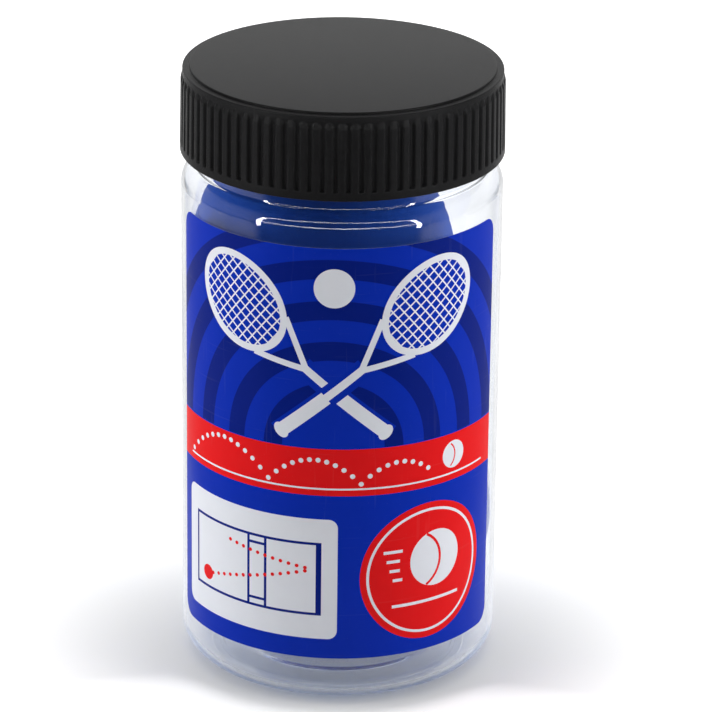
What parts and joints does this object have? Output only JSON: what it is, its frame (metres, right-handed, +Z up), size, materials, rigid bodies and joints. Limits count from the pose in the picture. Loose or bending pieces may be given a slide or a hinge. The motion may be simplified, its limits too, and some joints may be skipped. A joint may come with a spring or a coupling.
{
  "type": "racquetball jar",
  "caption": "Clear screw-top plastic jar with a printed front label, holding hollow blue rubber racquetballs stacked under a ribbed black screw cap.",
  "frame": {"origin": "middle of the jar's stand ring, on the surface that it stands on", "axes": "+Z up along the jar's axis, -Y towards the middle of the front label, +X to the right seen from the front"},
  "size_m": [0.0684, 0.0684, 0.1325],
  "materials": {
    "jar_plastic": "clear, glossy moulded plastic",
    "label_film": "printed film, semi-gloss",
    "cap_plastic": "black moulded plastic, satin",
    "liner_foam": "white closed-cell foam",
    "ball_rubber": "blue moulded rubber, matte with a slight bloom"
  },
  "bodies": {
    "jar": {"jar": "jar_plastic", "front_label": "label_film"},
    "liner": {"cap_liner": "liner_foam"},
    "cap": {"cap": "cap_plastic"},
    "lower_ball": {"lower_ball_top_half": "ball_rubber", "lower_ball_bottom_half": "ball_rubber"},
    "upper_ball": {"upper_ball_top_half": "ball_rubber", "upper_ball_bottom_half": "ball_rubber"}
  },
  "joints": [
    {"name": "cap_lift", "type": "slide", "parent": "jar", "child": "liner", "axis": [0, 0, 1], "range_m": [0, 0.0252]},
    {"name": "cap_turn", "type": "hinge", "parent": "liner", "child": "cap", "pos_m": [0, 0, 0.12], "axis": [0, 0, 1], "range_deg": [0, 2160]},
    {"name": "lower_ball_roll", "type": "hinge", "parent": "jar", "child": "lower_ball", "pos_m": [0.0043, 0, 0.0324], "axis": [0, 1, 0], "continuous": true},
    {"name": "upper_ball_roll", "type": "hinge", "parent": "jar", "child": "upper_ball", "pos_m": [-0.0043, 0, 0.08905], "axis": [0, 1, 0], "continuous": true}
  ],
  "couplings": [
    {"joint": "cap_lift", "follows": "cap_turn", "m_per_rad": 0.00066845}
  ]
}
